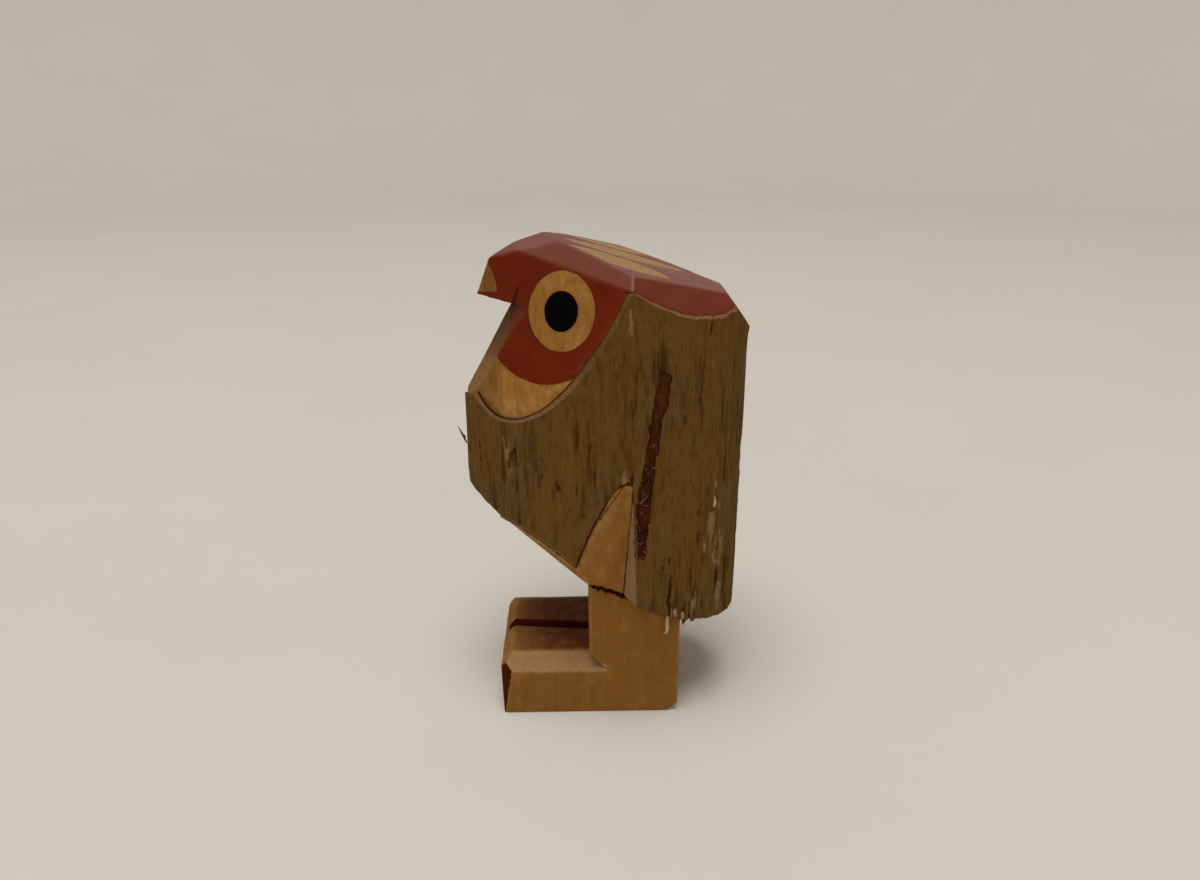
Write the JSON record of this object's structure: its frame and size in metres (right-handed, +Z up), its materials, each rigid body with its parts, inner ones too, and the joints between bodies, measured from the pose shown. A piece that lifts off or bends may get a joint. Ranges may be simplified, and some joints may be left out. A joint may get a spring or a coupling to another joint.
{
  "type": "carved bird figurine",
  "caption": "Free-standing knife-faceted wooden bird with bark left on its body, a painted head with bare eye rings and crown stripes, standing on a block foot.",
  "frame": {"origin": "on the ground plane, at the middle of the length of the feet and in the plane through the beak's edge", "axes": "+Z up through the crown, -Y the way the beak points, +X the bird's left side"},
  "size_m": [0.0418, 0.0624, 0.1084],
  "materials": {
    "body_wood": "knife-cut bare wood, matt",
    "bark": "rough fibrous bark, matt",
    "leg_wood": "knife-cut bare wood, matt",
    "brick_red_paint": "thin matt brick-red paint on wood",
    "black_paint": "black paint on wood",
    "wine_red_stain": "dark wine-red stain on rough wood"
  },
  "bodies": {
    "root": {"body_core": "body_wood", "bark_skin": "bark", "leg_block": "leg_wood", "left_face_paint": "brick_red_paint", "right_face_paint": "brick_red_paint", "crown_paint": "brick_red_paint", "left_pupil": "black_paint", "right_pupil": "black_paint", "left_wing_groove_paint": "wine_red_stain", "right_wing_groove_paint": "wine_red_stain", "toe_gap_paint": "wine_red_stain", "left_toe_paint": "wine_red_stain", "right_toe_paint": "wine_red_stain"}
  },
  "joints": []
}
